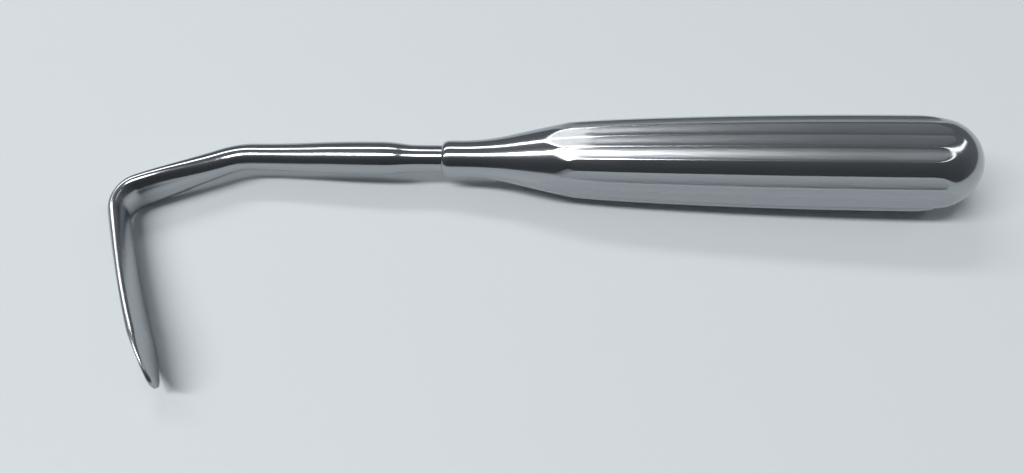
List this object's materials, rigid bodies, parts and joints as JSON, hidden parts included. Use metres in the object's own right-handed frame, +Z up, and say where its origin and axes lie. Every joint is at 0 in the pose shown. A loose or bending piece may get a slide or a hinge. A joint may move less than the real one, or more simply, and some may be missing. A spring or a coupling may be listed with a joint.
{
  "type": "surgical retractor",
  "caption": "Handheld retractor: a hollow fluted handle that tapers to a round neck, with a rod that bends, flattens and turns square into a blunt flat blade.",
  "frame": {"origin": "on the table under the middle of the tool's box, as it lies on its side", "axes": "+X runs along the tool from its blade end to the domed end of its handle, -Y is the way the blade points, +Z is up from the table, across the blade's width"},
  "size_m": [0.2104, 0.0744, 0.023],
  "materials": {
    "handle_steel": "polished stainless steel with fine lengthwise flutes, clean and unworn",
    "forged_steel": "polished forged stainless steel, smooth, clean and unworn"
  },
  "bodies": {
    "root": {"handle": "handle_steel", "blade_shank": "forged_steel"}
  },
  "joints": []
}
